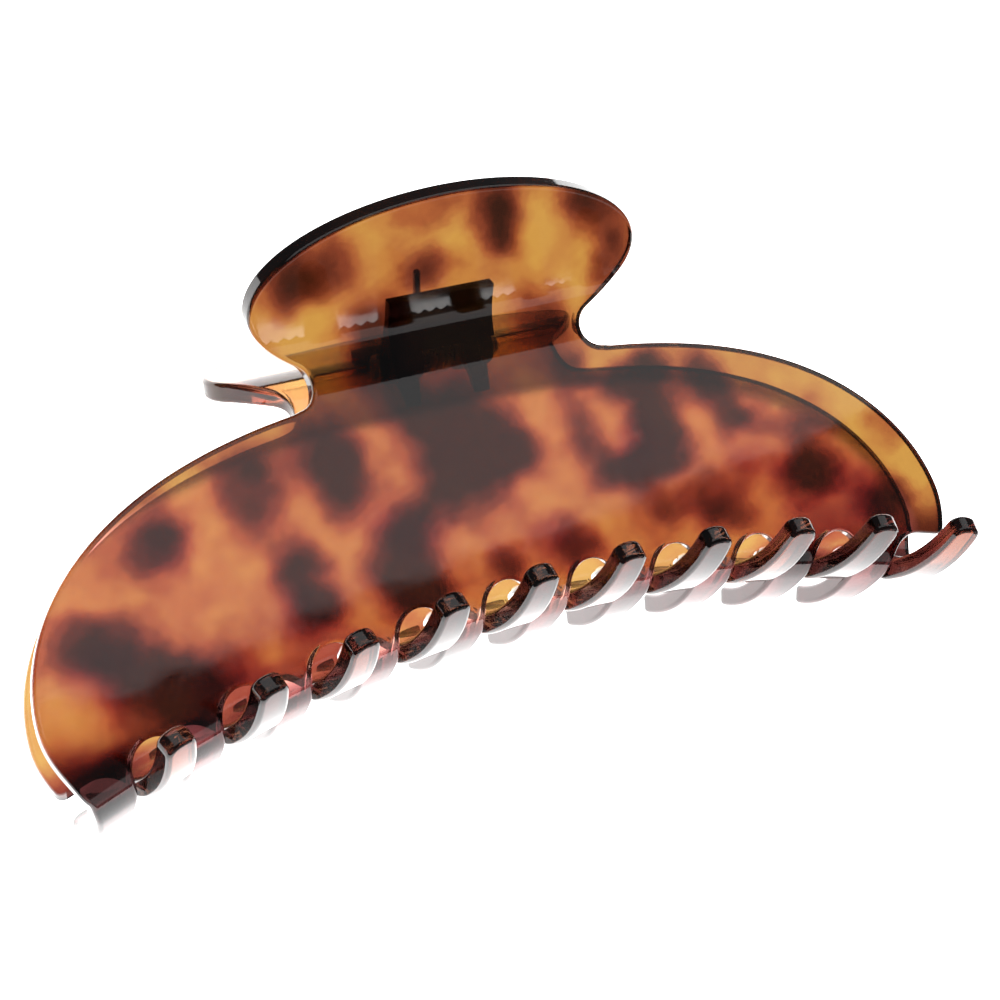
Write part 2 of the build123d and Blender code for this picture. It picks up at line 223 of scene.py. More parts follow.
def tooth_outline(place):
    """One tooth, from its right root round the tip to its left root."""
    tip_distance = float(section(np.float64(TIP_DOWN), 0.0)[0])
    root = BEND_DOWN + BEND_RADIUS * math.asin((GULLET_DOWN + GULLET_RADIUS - BEND_DOWN) / BEND_RADIUS)
    right = []
    end = TIP_DOWN - TIP_ROUND
    for i in range(81):
        down = root + (end - root) * i / 80
        share = (FACE + 1 - float(section(np.float64(down), 0.0)[0])) / (FACE + 1 - tip_distance)
        right.append((ROOT_HALF_WIDTH + (TIP_HALF_WIDTH - ROOT_HALF_WIDTH) * share, down))
    width = right[-1][0]
    for i in range(1, 13):
        t = i / 12 * math.pi / 2
        right.append((width - TIP_ROUND + TIP_ROUND * math.cos(t), end + TIP_ROUND * math.sin(t)))
    left = [(-across, down) for across, down in reversed(right)]
    return [beside(place, across, down) for across, down in right + left]


def gullet_outline(place):
    """The round top between two teeth, from right to left."""
    points = []
    for i in range(25):
        t = i / 24 * math.pi
        x, z = GULLET_RADIUS * math.cos(t), -GULLET_DOWN - GULLET_RADIUS + GULLET_RADIUS * math.sin(t)
        points.append(unroll(*about_arch(place, x, z)))
    return points


def jaw_outline():
    """The whole flat pattern, clockwise from the middle of the tab's rim."""
    places = [(i - (TEETH - 1) / 2 - PHASE) * PITCH for i in range(TEETH)]
    last_gullet = places[-1] + PITCH / 2
    turn = last_gullet / ARCH_RADIUS
    side = upper_right()
    points = []
    for x, z in side:
        local = x * math.sin(turn) + (z - ARCH_CENTRE) * math.cos(turn) + ARCH_CENTRE
        if local > -GULLET_DOWN + GULLET_BAND:
            points.append(unroll(x, z))
    for i in range(8):
        points.append(unroll(*about_arch(last_gullet, END_FILLET * (1 - i / 7), -GULLET_DOWN)))
    points += gullet_outline(last_gullet)[13:]
    for i in reversed(range(TEETH)):
        points += tooth_outline(places[i])
        if i:
            points += gullet_outline(places[i] - PITCH / 2)
    left = [(x, z) for x, z in side if z > -WIDEST_DOWN - END_DROP + END_TRIM]
    points += [unroll(-x, z) for x, z in reversed(left)]
    return np.array(points)


def resampled(points, step):
    """A closed polyline with evenly spaced points."""
    closed = np.vstack([points, points[:1]])
    lengths = np.hypot(*np.diff(closed, axis=0).T)
    closed = closed[np.concatenate([[True], lengths > 1e-6])]
    lengths = lengths[lengths > 1e-6]
    along = np.concatenate([[0], np.cumsum(lengths)])
    count = int(round(along[-1] / step))
    places = np.arange(count) * along[-1] / count
    return np.stack([np.interp(places, along, closed[:, k]) for k in (0, 1)], 1)


def smoothed(points, passes):
    for _ in range(passes):
        points = 0.5 * points + 0.25 * (np.roll(points, 1, 0) + np.roll(points, -1, 0))
    return points


def outward(points):
    """Outward unit normals of a clockwise outline."""
    run = np.roll(points, -1, 0) - np.roll(points, 1, 0)
    normal = np.stack([-run[:, 1], run[:, 0]], 1)
    return normal / np.hypot(*normal.T)[:, None]


def inside(points, outline):
    """Which points lie inside a closed outline."""
    a, b = outline, np.roll(outline, -1, 0)
    found = []
    for part in np.array_split(points, max(1, len(points) // 1500)):
        x, z = part[:, :1], part[:, 1:]
        crosses = (a[:, 1] > z) != (b[:, 1] > z)
        slope = (b[:, 0] - a[:, 0]) / np.where(b[:, 1] == a[:, 1], 1e-12, b[:, 1] - a[:, 1])
        left = x < a[:, 0] + (z - a[:, 1]) * slope
        found.append((crosses & left).sum(1) % 2 == 1)
    return np.concatenate(found)


def fill_points(outline):
    """Inner points: close rows where the sheet bends, wide ones where it is flat."""
    points = []
    down = FOLD_START
    row = 0
    while down < TIP_DOWN:
        radius = -ARCH_CENTRE - down
        step = FOLD_SPACING / radius
        offset = (row % 2) * step / 2
        for k in range(-70, 71):
            angle = k * step + offset
            points.append((radius * math.sin(angle), radius * math.cos(angle) + ARCH_CENTRE))
        down += FOLD_ROW
        row += 1
    for i in range(NECK_ROWS):
        z = NECK_LOW + i * FOLD_ROW
        for k in range(-18, 19):
            points.append((k * NECK_SPACING + (i % 2) * NECK_SPACING / 2, z))
    for i in range(24):
        z = FLAT_LOW + i * FLAT_SPACING
        for k in range(-47, 48):
            x = k * FLAT_SPACING + (i % 2) * FLAT_SPACING / 2
            if z < -1.3 and -ARCH_CENTRE - math.hypot(x, z - ARCH_CENTRE) < 21.2:
                points.append((x, z))
    for i in range(10):
        for k in range(-20, 21):
            points.append((k * FLAT_SPACING + (i % 2) * FLAT_SPACING / 2, TAB_LOW + i * TAB_ROW))
    points = np.array(points)
    points = points[inside(points, outline)]
    tree = KDTree(len(outline))
    for i, (x, z) in enumerate(outline):
        tree.insert((x, z, 0), i)
    tree.balance()
    return points[[tree.find((x, z, 0))[2] > RIM_CLEARANCE for x, z in points]]


def jaw_mesh(name, turn):
    """The jaw as one closed mesh, with its flat-pattern place kept for the material."""
    outline = resampled(smoothed(resampled(jaw_outline(), FINE_STEP), SMOOTHING), OUTLINE_STEP)
    normal = outward(outline)
    count = len(outline)
    rings, tilts = [], []
    for i in range(EDGE_STEPS + 1):
        t = i / EDGE_STEPS * math.pi / 2
        rings.append((EDGE * (1 - math.sin(t)), EDGE * (1 - math.cos(t))))
        tilts.append((math.sin(t), -math.cos(t)))
    rings += [(inset, SHEET - depth) for inset, depth in reversed(rings)]
    tilts += [(side, -face) for side, face in reversed(tilts)]
    points = [
        np.column_stack([outline - normal * inset, np.full(count, depth)]) for inset, depth in rings
    ]
    normals = [np.column_stack([normal * side, np.full(count, face)]) for side, face in tilts]
    rim = points[0][:, :2]
    fill = fill_points(rim)
    corners = [Vector(p) for p in np.vstack([rim, fill])]
    loop = [(i, (i + 1) % count) for i in range(count)]
    _, _, faces, origin, _, _ = delaunay_2d_cdt(corners, loop, [], 1, 1e-6)
    source = [o[0] for o in origin]
    front_start = len(rings) * count
    back_start = front_start + len(fill)
    points += [np.column_stack([fill, np.full(len(fill), depth)]) for depth in (0.0, SHEET)]
    face_on = np.zeros((len(fill), 3))
    face_on[:, 2] = -1
    normals += [face_on, -face_on]
    points = np.vstack(points)
    normals = np.vstack(normals)
    last = (len(rings) - 1) * count
    polygons = []
    for face in faces:
        ids = [source[k] for k in face]
        polygons.append([i if i < count else front_start + i - count for i in ids])
        polygons.append([last + i if i < count else back_start + i - count for i in reversed(ids)])
    for ring in range(len(rings) - 1):
        a, b = ring * count, (ring + 1) * count
        for i in range(count):
            j = (i + 1) % count
            polygons.append([a + i, b + i, b + j, a + j])
    folded = bend(points)
    small = 1e-3
    steps = [(bend(points + small * np.eye(3)[k]) - folded) / small for k in range(3)]
    jacobian = np.stack(steps, 2)
    turned = np.einsum("nji,nj->ni", np.linalg.inv(jacobian), normals)
    turned /= np.linalg.norm(turned, axis=1)[:, None]
    if turn:
        folded, turned = turned_round(folded), turned_round(turned)
    origin_row = to_row_frame(np.zeros((1, 3)))
    places = to_row_frame(folded) * MM
    turned = to_row_frame(turned) - origin_row
    mesh = bpy.data.meshes.new(name)
    mesh.from_pydata(places.tolist(), [], polygons)
    mesh.validate()
    bm = bmesh.new()
    bm.from_mesh(mesh)
    bmesh.ops.recalc_face_normals(bm, faces=bm.faces)
    bm.to_mesh(mesh)
    bm.free()
    attribute = mesh.attributes.new("sheet", "FLOAT_VECTOR", "POINT")
    attribute.data.foreach_set("vector", points.astype(np.float32).ravel())
    mesh.shade_smooth()
    mesh.normals_split_custom_set_from_vertices(turned.tolist())
    obj = bpy.data.objects.new(name, mesh)
    bpy.context.scene.collection.objects.link(obj)
    return obj


front = jaw_mesh("front_jaw_sheet", False)
back = jaw_mesh("back_jaw_sheet", True)
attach(front, "front")
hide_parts("front_jaw")
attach(back, "back")
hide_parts("back_jaw")


# ---------------------------------------------------------------- hinge
def bevelled_copy(node, name, width, smooth_angle=math.radians(30)):
    """A piece with the CAD node's shape, its edges rounded as moulding or plating leaves them."""
    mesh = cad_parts[node].data.copy()
    mesh.name = name
    mesh.materials.clear()
    bm = bmesh.new()
    bm.from_mesh(mesh)
    bmesh.ops.remove_doubles(bm, verts=bm.verts, dist=2e-6)
    bmesh.ops.dissolve_limit(bm, angle_limit=math.radians(1), verts=bm.verts, edges=bm.edges)
    sharp = [e for e in bm.edges if len(e.link_faces) == 2 and e.calc_face_angle(0) > smooth_angle]
    bmesh.ops.bevel(
        bm, geom=sharp, offset=width * MM, segments=3, profile=0.5, affect="EDGES", clamp_overlap=True
    )
    bmesh.ops.recalc_face_normals(bm, faces=bm.faces)
    bm.to_mesh(mesh)
    bm.free()
    mesh.shade_smooth()
    mesh.set_sharp_from_angle(angle=math.radians(35))
    obj = bpy.data.objects.new(name, mesh)
    bpy.context.scene.collection.objects.link(obj)
    return obj


def tube(name, line, radius, sides=14):
    """A round wire along a line of points, with domed ends."""
    line = np.asarray(line, float)
    run = np.gradient(line, axis=0)
    run /= np.linalg.norm(run, axis=1)[:, None]
    across = np.cross(run[0], (1.0, 0.0, 0.3))
    across /= np.linalg.norm(across)
    rings = []
    last = len(line) - 1
    ends = ((0.0, 0.35), (0.25, 0.8), (0.6, 1.0))
    for i, (point, along) in enumerate(zip(line, run)):
        across = across - along * (across @ along)
        across /= np.linalg.norm(across)
        other = np.cross(along, across)
        sizes = ((0.0, 1.0),)
        if i == 0:
            sizes = tuple((back_off - 0.6, size) for back_off, size in ends)
        if i == last:
            sizes = tuple((0.6 - back_off, size) for back_off, size in reversed(ends))
        for shift, size in sizes:
            turn = np.arange(sides) / sides * 2 * math.pi
            ring = np.outer(np.cos(turn), across) + np.outer(np.sin(turn), other)
            rings.append(point + along * shift * radius + ring * radius * size)
    polygons = [list(range(sides))]
    for k in range(len(rings) - 1):
        for i in range(sides):
            j = (i + 1) % sides
            polygons.append([k * sides + i, (k + 1) * sides + i, (k + 1) * sides + j, k * sides + j])
    polygons.append([(len(rings) - 1) * sides + i for i in reversed(range(sides))])
    mesh = bpy.data.meshes.new(name)
    mesh.from_pydata((np.vstack(rings) * MM).tolist(), [], polygons)
    bm = bmesh.new()
    bm.from_mesh(mesh)
    bmesh.ops.recalc_face_normals(bm, faces=bm.faces)
    bm.to_mesh(mesh)
    bm.free()
    mesh.shade_smooth()
    obj = bpy.data.objects.new(name, mesh)
    bpy.context.scene.collection.objects.link(obj)
    return obj


PIN_UP = 4.0
WIRE_RADIUS = 0.45
COIL_RADIUS = 1.85
COIL_TURNS = 3
COIL_PITCH = 1.0
LEG_LENGTH = 11.5
LEAF = 1.2


def spring_line():
    """The spring's wire, from the front leg's end round the coil to the back leg's end."""
    big = TAB_BEND_RADIUS + SHEET + LEAF + WIRE_RADIUS + 0.05
    out, up = FACE + TAB_BEND_RADIUS, -PIN_UP
    heading = math.atan2(up, out) + math.asin((big - COIL_RADIUS) / math.hypot(out, up))
    leave = np.array([COIL_RADIUS * math.sin(heading), COIL_RADIUS * math.cos(heading)])
    start = math.atan2(leave[1], leave[0])
    turn = COIL_TURNS * 2 * math.pi - 2 * math.atan2(leave[0], leave[1])
    length = COIL_PITCH * turn / (2 * math.pi)
    steps = 170
    points = []
    for i in range(steps + 1):
        share = i / steps
        angle = start - turn * share
        y, z = COIL_RADIUS * math.cos(angle), COIL_RADIUS * math.sin(angle)
        points.append((length * (share - 0.5), y, z + PIN_UP))
    points = np.array(points)
    first = points[0] - points[1]
    final = points[-1] - points[-2]
    first, final = first / np.linalg.norm(first), final / np.linalg.norm(final)
    legs = np.linspace(0, LEG_LENGTH, 24)[1:, None]
    return np.vstack([points[0] + first * legs[::-1], points, points[-1] + final * legs]), length


front_bracket = bevelled_copy("front_hinge_bracket", "front_hinge_moulding", 0.16)
back_bracket = bevelled_copy("back_hinge_bracket", "back_hinge_moulding", 0.16)
pin = bevelled_copy("hinge_pin", "pin_with_head", 0.08)
ring = bevelled_copy("pin_retainer", "push_on_ring", 0.08)
wire_line, coil_length = spring_line()
spring = tube("spring_wire", to_row_frame(wire_line), WIRE_RADIUS)
for piece, node, body, slot in (
    (front_bracket, "front_hinge_bracket", "front", "hinge_plastic"),
    (back_bracket, "back_hinge_bracket", "back", "hinge_plastic"),
    (pin, "hinge_pin", "back", "pin_steel"),
    (ring, "pin_retainer", "back", "pin_steel"),
):
    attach(piece, body)
    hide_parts(node)
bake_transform(spring)
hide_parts("torsion_spring")


# ---------------------------------------------------------------- materials
class Nodes:
    """Short ways to add and join the nodes of one material."""

    def __init__(self, name):
        self.material = bpy.data.materials.new(name)
        self.material.use_nodes = True
        self.tree = self.material.node_tree
        self.shader = self.tree.nodes["Principled BSDF"]

    def add(self, kind, **values):
        node = self.tree.nodes.new(kind)
        for key, value in values.items():
            setattr(node, key, value)
        return node

    def join(self, output, socket):
        self.tree.links.new(output, socket)

    def math(self, operation, a, b=None, c=None):
        node = self.add("ShaderNodeMath", operation=operation)
        for i, value in enumerate((a, b, c)):
            if value is None:
                continue
            if isinstance(value, (int, float)):
                node.inputs[i].default_value = value
            else:
                self.join(value, node.inputs[i])
        return node.outputs[0]

    def noise(self, vector, scale, detail=2.0, roughness=0.5, distortion=0.0, colour=False):
        node = self.add("ShaderNodeTexNoise")
        node.inputs["Scale"].default_value = scale
        node.inputs["Detail"].default_value = detail
        node.inputs["Roughness"].default_value = roughness
        node.inputs["Distortion"].default_value = distortion
        self.join(vector, node.inputs["Vector"])
        return node.outputs["Color" if colour else "Fac"]

    def mapping(self, vector, kind="POINT", location=(0, 0, 0), rotation=0.0, scale=(1, 1, 1)):
        node = self.add("ShaderNodeMapping", vector_type=kind)
        node.inputs["Location"].default_value = location
        node.inputs["Rotation"].default_value = (0, 0, rotation)
        node.inputs["Scale"].default_value = scale
        self.join(vector, node.inputs["Vector"])
        return node.outputs[0]

    def spread(self, value, low, high, to_low, to_high, smooth=False):
        node = self.add("ShaderNodeMapRange", interpolation_type="SMOOTHSTEP" if smooth else "LINEAR")
        for i, number in enumerate((low, high, to_low, to_high)):
            node.inputs[i + 1].default_value = number
        self.join(value, node.inputs[0])
        return node.outputs[0]

    def ramp(self, value, stops):
        node = self.add("ShaderNodeValToRGB")
        node.color_ramp.interpolation = "EASE"
        elements = node.color_ramp.elements
        while len(elements) < len(stops):
            elements.new(0.5)
        for element, (place, colour) in zip(elements, stops):
            element.position = place
            element.color = (*colour, 1)
        self.join(value, node.inputs[0])
        return node.outputs[0]

    def bump(self, height, strength, distance):
        node = self.add("ShaderNodeBump")
        node.inputs["Strength"].default_value = strength
        node.inputs["Distance"].default_value = distance
        self.join(height, node.inputs["Height"])
        self.join(node.outputs[0], self.shader.inputs["Normal"])


# Tortoiseshell figure: place x, z, half sizes, turn in degrees and depth of colour
FRONT_BLOTCHES = (
    (-38.8, -10.9, 2.6, 3.9, -25, 0.75), (-47.5, -20.0, 4.6, 2.8, 0, 0.75),
    (-43.3, -23.0, 3.0, 2.2, 0, 0.45), (-40.6, -26.8, 5.8, 3.2, 0, 0.9),
    (-26.3, -6.5, 3.2, 3.4, 0, 0.7), (-28.0, -11.6, 2.6, 2.4, 0, 0.3),
    (-17.0, -7.2, 3.3, 5.2, 0, 0.9), (-24.6, -17.8, 2.8, 3.3, 0, 0.7),
    (-24.3, -22.6, 3.2, 2.0, 0, 0.65), (-12.0, -17.6, 4.9, 2.6, 35, 0.8),
    (-12.3, -23.2, 3.6, 2.6, 0, 0.85), (-1.7, -22.9, 1.9, 2.2, 0, 0.55),
    (-33.5, -23.4, 2.2, 1.8, 0, 0.25), (-6.6, -3.0, 2.6, 2.6, 0, 0.4),
    (-2.0, -6.0, 5.6, 5.2, 0, 0.85), (-3.6, -12.6, 4.4, 3.8, 20, 0.7),
    (3.2, -10.4, 3.4, 3.2, 0, 0.65), (13.9, -3.6, 2.8, 2.4, 0, 0.45),
    (13.1, -11.6, 2.1, 4.4, 0, 0.5), (17.9, -15.9, 3.6, 2.5, 0, 0.8),
    (22.0, -12.8, 2.9, 3.4, 0, 0.85), (22.3, -7.4, 3.1, 3.8, 0, 0.85),
    (18.0, -5.0, 2.8, 1.6, 0, 0.5), (24.6, -3.9, 2.6, 1.5, -20, 0.45),
    (30.3, -7.6, 3.1, 2.6, 0, 0.7), (31.8, -11.9, 2.3, 2.9, 20, 0.6),
    (37.0, -14.6, 5.0, 1.9, -8, 0.35), (40.8, -17.2, 3.0, 2.0, 0, 0.4),
    (39.7, -21.9, 3.3, 2.7, 0, 0.9), (19.4, -20.9, 4.0, 2.0, 0, 0.5),
    (7.0, -22.2, 2.6, 2.4, 0, 0.55), (27.0, -23.2, 3.0, 2.5, 0, 0.6),
    (29.5, -19.2, 5.5, 1.8, 0, 0.3), (47.7, -27.2, 3.5, 3.1, 0, 0.8),
    (52.1, -18.6, 2.4, 2.2, 0, 0.4), (-16.4, 15.4, 5.4, 4.2, 12, 0.5),
    (-17.8, 13.2, 3.4, 2.6, 0, 0.2), (5.4, 18.6, 2.7, 3.7, 0, 0.75),
    (7.0, 14.6, 1.8, 1.8, 0, 0.3), (16.6, 18.0, 3.6, 3.0, -30, 0.6),
    (20.4, 13.0, 3.0, 3.8, 0, 0.4), (-2.9, 12.6, 2.3, 2.2, 0, 0.55),
    (-8.4, 3.4, 3.2, 5.4, 0, 0.75), (12.2, 2.6, 3.2, 3.9, 0, 0.55),
    (-3.8, 20.8, 5.5, 1.6, 0, 0.25), (21.2, 7.4, 2.2, 3.2, 0, 0.4),
    (-48.5, -36.0, 5.0, 4.0, 0, 0.5), (-8.0, -37.0, 2.6, 5.0, 0, 0.4),
    (14.0, -38.0, 2.2, 6.0, 0, 0.5), (36.0, -37.0, 2.4, 6.0, 0, 0.5),
)
FRONT_LIGHTS = (
    (-33.3, -5.8, 2.0, 1.8, 0, 0.12), (-33.4, -13.6, 1.9, 5.2, 0, 0.16),
    (-51.0, -27.0, 3.6, 3.4, 0, 0.26), (33.0, -17.0, 5.0, 2.4, 0, 0.16),
    (50.5, -16.0, 3.4, 7.0, 25, 0.3), (41.0, -8.2, 5.0, 1.8, -28, 0.16),
    (53.2, -22.9, 2.3, 3.6, 0, 0.2), (8.6, -4.6, 2.4, 5.5, 0, 0.14),
    (19.4, -2.4, 3.0, 1.4, 0, 0.12), (17.2, -9.4, 1.8, 2.4, 0, 0.12),
    (12.0, -20.8, 2.2, 1.8, 0, 0.1), (-9.8, 18.6, 2.4, 4.2, 15, 0.26),
    (0.4, 16.6, 3.4, 2.2, 20, 0.26), (11.6, 15.6, 2.0, 4.6, 0, 0.24), (16.4, 7.4, 2.0, 4.4, 0, 0.2),
    (-15.4, 9.4, 3.4, 2.0, 0, 0.18), (-16.8, 4.6, 3.4, 4.2, 0, 0.22),
    (-21.6, 11.0, 1.6, 5.0, 0, 0.1),
)
BACK_BLOTCHES = (
    (-50.0, -24.0, 3.0, 4.0, 0, 0.5), (-38.0, -17.0, 4.0, 2.6, 30, 0.4),
    (-22.0, -12.0, 3.4, 3.0, -20, 0.35),
    (-7.0, -20.0, 3.6, 2.6, 0, 0.35), (9.0, -15.0, 4.0, 2.8, 20, 0.35), (24.0, -20.0, 3.0, 3.0, 0, 0.35),
    (36.0, -10.0, 3.2, 2.4, 0, 0.3), (46.0, -22.0, 3.0, 3.4, 0, 0.4), (-14.0, 16.0, 4.2, 3.2, 20, 0.6),
    (6.0, 12.0, 3.0, 3.6, 0, 0.6), (18.0, 16.0, 3.2, 3.0, -30, 0.5), (20.0, 6.0, 2.6, 2.4, 0, 0.4),
    (-4.0, 5.0, 3.4, 3.0, 0, 0.5), (-36.0, -38.0, 5.0, 10.0, 0, 0.6), (-15.0, -40.0, 7.0, 8.0, 0, 0.7),
    (8.0, -40.0, 8.0, 8.0, 0, 0.7), (30.0, -40.0, 6.0, 9.0, 0, 0.65), (50.0, -40.0, 5.0, 9.0, 0, 0.8),
    (-52.0, -40.0, 4.0, 8.0, 0, 0.75), (32.5, -26.5, 4.4, 3.4, 0, 0.5), (21.5, -26.5, 4.4, 3.4, 0, 0.55),
    (10.5, -26.5, 3.6, 3.0, 0, 0.25), (-43.0, -26.0, 4.4, 3.4, 0, 0.5),
)
BACK_LIGHTS = (
    (-32.0, -26.0, 4.0, 2.4, 0, 0.12), (0.0, -27.0, 4.0, 2.4, 0, 0.12),
    (-10.0, -27.0, 4.0, 2.4, 0, 0.14),
    (43.0, -29.0, 4.0, 2.4, 0, 0.12),
)
FRONT_COLOURS = (
    (0.0, (0.86, 0.60, 0.38)),
    (0.2, (0.76, 0.43, 0.30)),
    (0.4, (0.58, 0.22, 0.19)),
    (0.6, (0.33, 0.09, 0.10)),
    (0.82, (0.14, 0.034, 0.04)),
    (1.0, (0.055, 0.018, 0.02)),
)
BACK_COLOURS = (
    (0.0, (0.31, 0.18, 0.052)),
    (0.2, (0.28, 0.125, 0.042)),
    (0.4, (0.22, 0.060, 0.028)),
    (0.6, (0.15, 0.028, 0.017)),
    (0.82, (0.08, 0.014, 0.011)),
    (1.0, (0.035, 0.009, 0.008)),
)
# depth from each face over which the painted rim shade comes in
RIM_SHADE_FADE = 0.35
OVERLAP_X = 5.6      # outside this shift of the outline no back jaw lies behind the front one, and there the front's colour is darkened as painted shade
OVERLAP_Z = 4.0
REACH = 1.85         # a blotch fades out at this many times its half size


def tortoiseshell(
    name, blotches, lights, colours, seed, low, high, teeth, margin, one_sheet_painted_tone, teeth_painted_shade
):
    """Polished acetate: soft-edged brown figure in clear amber, thin wear scratches on top; painted
    shade on the edges, and painted shade and light on the tab, the teeth and the front's crown margin.
    """
    n = Nodes(name)
    sheet = n.add("ShaderNodeAttribute", attribute_name="sheet").outputs["Vector"]
    flat = n.mapping(sheet, scale=(1, 1, 0.25), location=(seed * 130.0, 0, 0))
    wobble = n.add("ShaderNodeVectorMath", operation="SUBTRACT")
    n.join(n.noise(flat, 0.16, 3.0, 0.55, colour=True), wobble.inputs[0])
    wobble.inputs[1].default_value = (0.5, 0.5, 0.5)
    moved = n.add("ShaderNodeVectorMath", operation="MULTIPLY_ADD")
    n.join(wobble.outputs[0], moved.inputs[0])
    moved.inputs[1].default_value = (5.0, 5.0, 0)
    n.join(sheet, moved.inputs[2])
    place = moved.outputs[0]
    tone = n.spread(n.noise(flat, 0.22, 3.0, 0.5), 0.3, 0.7, low, high)
    split = n.add("ShaderNodeSeparateXYZ")
    n.join(sheet, split.inputs[0])
    across, along, depth = split.outputs
    tone = n.math("ADD", tone, n.spread(along, -28.5, -33.0, 0.0, teeth, True))
    # painted shade: the sheet's edges are darkened, more on the tab and the teeth, for the dark look of
    # the polished edges
    outer = n.spread(depth, 0.0, RIM_SHADE_FADE, 0.0, 1.0)
    rim = n.math("MULTIPLY", outer, n.spread(depth, SHEET - RIM_SHADE_FADE, SHEET, 1.0, 0.0))
    tab_rim_shade = n.spread(along, -3.0, 3.0, 0.02, 0.22, True)
    edge = n.math("ADD", tab_rim_shade, n.spread(along, -26.0, -31.0, 0.0, 0.3, True))
    tone = n.math("ADD", tone, n.math("MULTIPLY", rim, edge))
    for sign, spots in ((1, blotches), (-1, lights)):
        for x, z, half_x, half_z, turn, weight in spots:
            local = n.mapping(
                place, "TEXTURE", (x, z, 0), math.radians(turn), (half_x * REACH, half_z * REACH, 1000)
            )
            ball = n.add("ShaderNodeTexGradient", gradient_type="SPHERICAL")
            n.join(local, ball.inputs[0])
            tone = n.math("ADD", tone, n.spread(ball.outputs["Fac"], 0.0, 0.9, 0.0, sign * weight, True))
    figure_with_painted_tone = n.add("ShaderNodeVectorMath", operation="MULTIPLY")
    n.join(n.ramp(tone, colours), figure_with_painted_tone.inputs[0])
    # painted shade and light: the front jaw's colour is darkened on its tab, teeth and crown margin,
    # where one sheet lies alone over the floor; the back jaw's tab is lightened and its teeth darkened
    shade = n.add("ShaderNodeCombineXYZ")
    reach = n.math("ABSOLUTE", n.math("MULTIPLY_ADD", across, 1 / HALF_LENGTH, OVERLAP_X / HALF_LENGTH))
    lifted = n.math("MULTIPLY_ADD", along, 1 / WIDEST_DOWN, 1 + OVERLAP_Z / WIDEST_DOWN)
    rise = n.math("MAXIMUM", lifted, 0.0)
    past = n.math("ADD", n.math("POWER", reach, SHOULDER_POWER), n.math("POWER", rise, CROWN_POWER))
    on_margin = n.spread(past, 0.96, 1.06, 0.0, margin, True)
    single = n.math("MAXIMUM", on_margin, n.spread(along, -2.0, 3.0, 0.0, 1.0, True))
    for socket, (above, below) in enumerate(zip(one_sheet_painted_tone, teeth_painted_shade)):
        upper = n.spread(single, 0.0, 1.0, 1.0, above)
        lower = n.spread(along, -28.0, -32.0, 1.0, below, True)
        n.join(n.math("MULTIPLY", upper, lower), shade.inputs[socket])
    n.join(shade.outputs[0], figure_with_painted_tone.inputs[1])
    n.join(figure_with_painted_tone.outputs[0], n.shader.inputs["Base Color"])
    haze = n.noise(flat, 0.6, 4.0, 0.6)
    lines = n.noise(n.mapping(sheet, rotation=0.5 + seed, scale=(0.08, 3.0, 1)), 1.2, 3.0, 0.6)
    smear = n.math("ADD", n.spread(haze, 0.35, 0.75, 0.03, 0.075), n.spread(lines, 0.62, 0.8, 0.0, 0.06))
    n.join(smear, n.shader.inputs["Roughness"])
    swell = n.noise(flat, 0.09, 1.0, 0.4)
    height = n.math("MULTIPLY_ADD", lines, 0.0012, n.math("MULTIPLY", swell, 0.25))
    n.bump(height, 0.25, 0.001)
    n.shader.inputs["Transmission Weight"].default_value = 0.93
    n.shader.inputs["IOR"].default_value = 1.47
    return n.material


def moulded_plastic():
    n = Nodes("black_moulding")
    place = n.add("ShaderNodeTexCoord").outputs["Object"]
    grain = n.noise(place, 5200.0, 3.0, 0.6)
    cloud = n.noise(place, 420.0, 3.0, 0.5)
    tone = n.ramp(cloud, ((0.3, (0.006, 0.005, 0.005)), (0.7, (0.016, 0.013, 0.012))))
    n.join(tone, n.shader.inputs["Base Color"])
    n.join(n.spread(cloud, 0.3, 0.7, 0.28, 0.46), n.shader.inputs["Roughness"])
    n.bump(grain, 0.25, 0.00002)
    return n.material


def plated_steel(name, light, dark, rough_low, rough_high, stretch):
    n = Nodes(name)
    place = n.add("ShaderNodeTexCoord").outputs["Object"]
    drawn = n.noise(n.mapping(place, scale=stretch), 1500.0, 4.0, 0.6)
    cloud = n.noise(place, 600.0, 3.0, 0.55)
    n.join(n.ramp(cloud, ((0.32, dark), (0.68, light))), n.shader.inputs["Base Color"])
    n.join(n.spread(drawn, 0.3, 0.7, rough_low, rough_high), n.shader.inputs["Roughness"])
    n.bump(drawn, 0.2, 0.00001)
    n.shader.inputs["Metallic"].default_value = 1.0
    return n.material


front.data.materials.append(
    tortoiseshell(
        "tortoiseshell_front", FRONT_BLOTCHES, FRONT_LIGHTS, FRONT_COLOURS, seed=0, low=0.1, high=0.4,
        # painted shade on the front's tab, crown margin and teeth
        teeth=0.45, margin=1.0, one_sheet_painted_tone=(0.255, 0.185, 0.06), teeth_painted_shade=(0.45, 0.38, 0.34),
    )
)
back.data.materials.append(
    tortoiseshell(
        "tortoiseshell_back", BACK_BLOTCHES, BACK_LIGHTS, BACK_COLOURS, seed=1, low=0.0, high=0.2,
        # painted light on the back's tab, painted shade on its teeth
        teeth=0.35, margin=0.0, one_sheet_painted_tone=(1.4, 1.4, 1.5), teeth_painted_shade=(0.8, 0.8, 0.8),
    )
)
black = moulded_plastic()
front_bracket.data.materials.append(black)
back_bracket.data.materials.append(black)
nickel = plated_steel("nickel_plate", (0.80, 0.78, 0.74), (0.66, 0.63, 0.59), 0.12, 0.3, (0.2, 1, 1))
pin.data.materials.append(nickel)
ring.data.materials.append(nickel)
spring.data.materials.append(
    plated_steel("spring_wire", (0.62, 0.61, 0.59), (0.48, 0.47, 0.45), 0.22, 0.42, (1, 1, 0.2))
)


